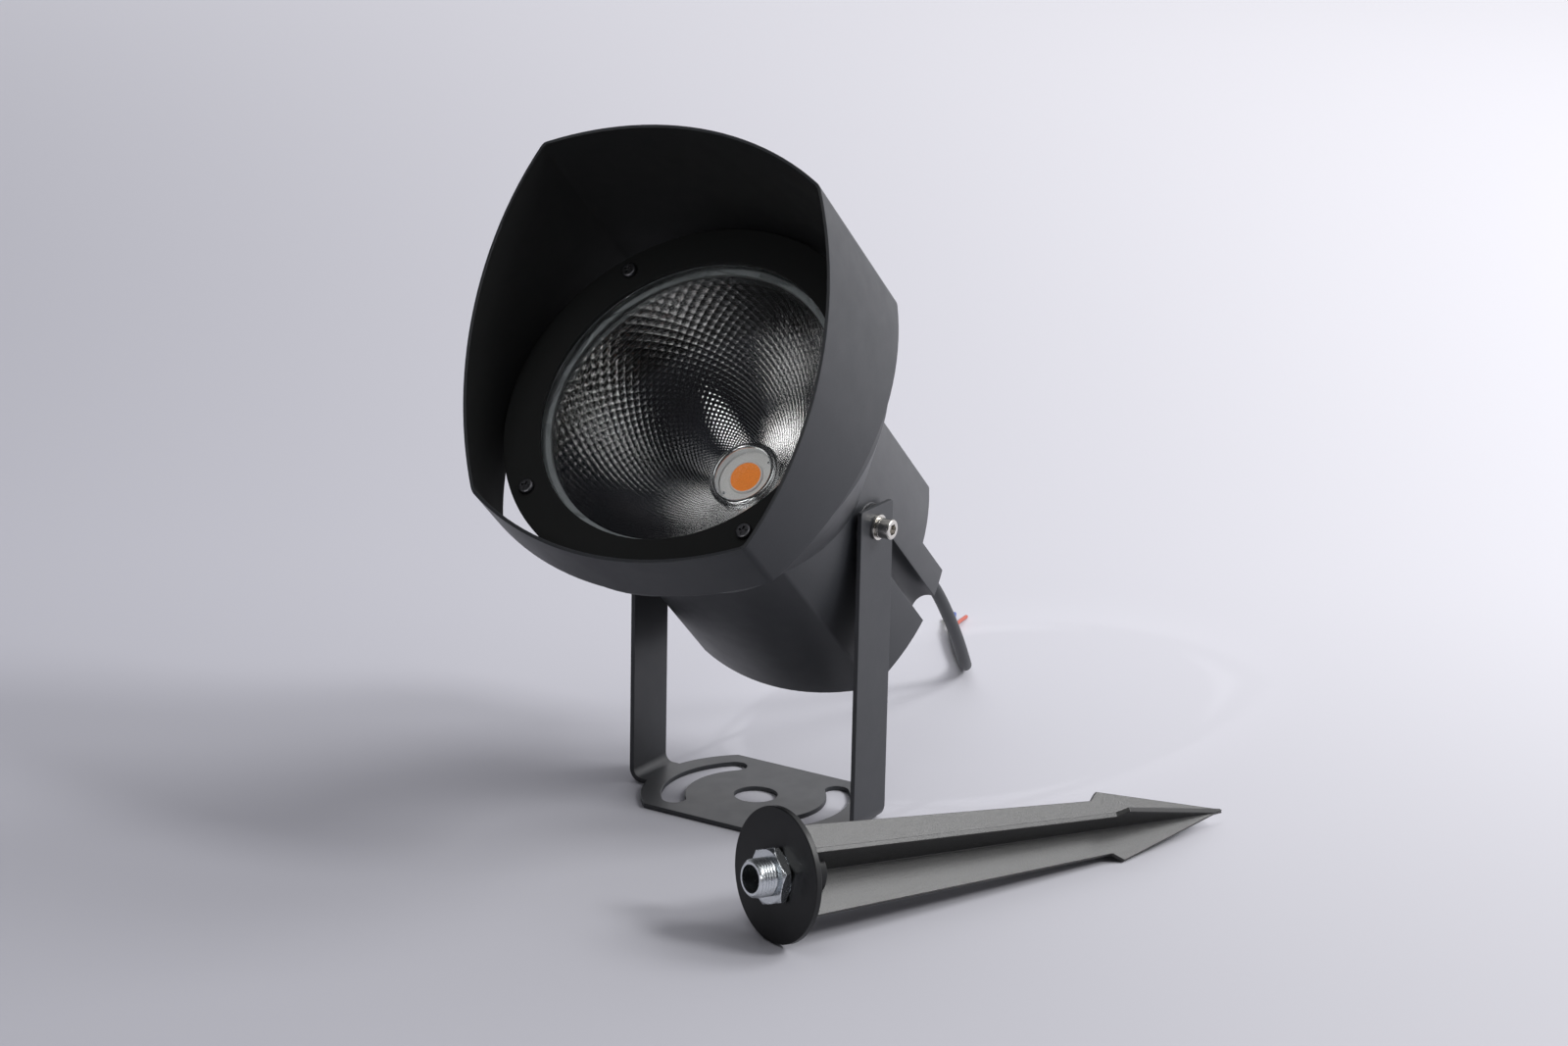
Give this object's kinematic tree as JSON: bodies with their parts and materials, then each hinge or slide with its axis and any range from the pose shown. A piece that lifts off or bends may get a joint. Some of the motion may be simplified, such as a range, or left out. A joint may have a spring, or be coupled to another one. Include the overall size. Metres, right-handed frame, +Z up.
{
  "type": "spotlight",
  "caption": "Outdoor LED spotlight with a slanted glare hood, tilting in a strap bracket on a slotted base plate, with a short cord and a loose ground spike.",
  "frame": {"origin": "centre of the base plate's hole, on the surface that the plate rests on", "axes": "+X along the tilt axis, the lamp faces -Y and upwards, +Z up"},
  "size_m": [0.3102, 0.4856, 0.3568],
  "materials": {
    "steel_coat": "fine-texture powder coat on steel",
    "cast_coat": "fine-texture powder coat on cast aluminium",
    "sheet_coat": "fine-texture powder coat on aluminium sheet",
    "spike_coat": "satin powder coat on cast aluminium",
    "bright_steel": "nickel plated",
    "black_steel": "black zinc plated",
    "zinc": "zinc plated",
    "clear_glass": "clear toughened",
    "grey_silicone": "matte moulded",
    "bright_bowl": "vacuum metallised facets",
    "chrome_collar": "polished",
    "cob_white": "white solder mask",
    "phosphor": "phosphor filled silicone",
    "black_polymer": "moulded",
    "pale_polymer": "moulded",
    "cord_rubber": "matte extruded",
    "core_brown": "extruded",
    "core_blue": "extruded",
    "core_green": "extruded, yellow stripe",
    "plain_washer": "moulded nylon"
  },
  "bodies": {
    "base": {"bracket": "steel_coat", "ground_spike": "spike_coat", "spike_flange": "spike_coat", "spike_nipple": "zinc", "spike_lock_nut": "zinc", "supply_cord": "cord_rubber", "live_core": "core_brown", "neutral_core": "core_blue", "earth_core": "core_green"},
    "head": {"housing": "cast_coat", "hood": "sheet_coat", "front_bezel": "cast_coat", "bezel_screws": "black_steel", "front_glass": "clear_glass", "glass_gasket": "grey_silicone", "reflector": "bright_bowl", "thermal_pad": "grey_silicone", "cob_plate": "cob_white", "led_emitter": "phosphor", "cob_holder": "chrome_collar", "cob_holder_screws": "bright_steel", "driver_tray": "zinc", "led_driver": "pale_polymer", "driver_screws": "bright_steel", "rear_cover": "cast_coat", "rear_gasket": "grey_silicone", "rear_screws": "bright_steel", "cable_gland": "black_polymer", "gland_lock_nut": "black_polymer", "gland_seal": "grey_silicone", "gland_cap": "black_polymer", "cord_entry": "cord_rubber", "led_leads": "cord_rubber", "driver_leads": "cord_rubber", "friction_washers": "plain_washer", "pivot_washers": "bright_steel", "spring_washers": "bright_steel", "pivot_bolts": "bright_steel"}
  },
  "joints": [
    {"name": "head_tilt", "type": "hinge", "parent": "base", "child": "head", "pos_m": [0, 0, 0.1566], "axis": [-1, 0, 0], "range_deg": [-68, 62], "deforming": ["supply_cord"]}
  ]
}
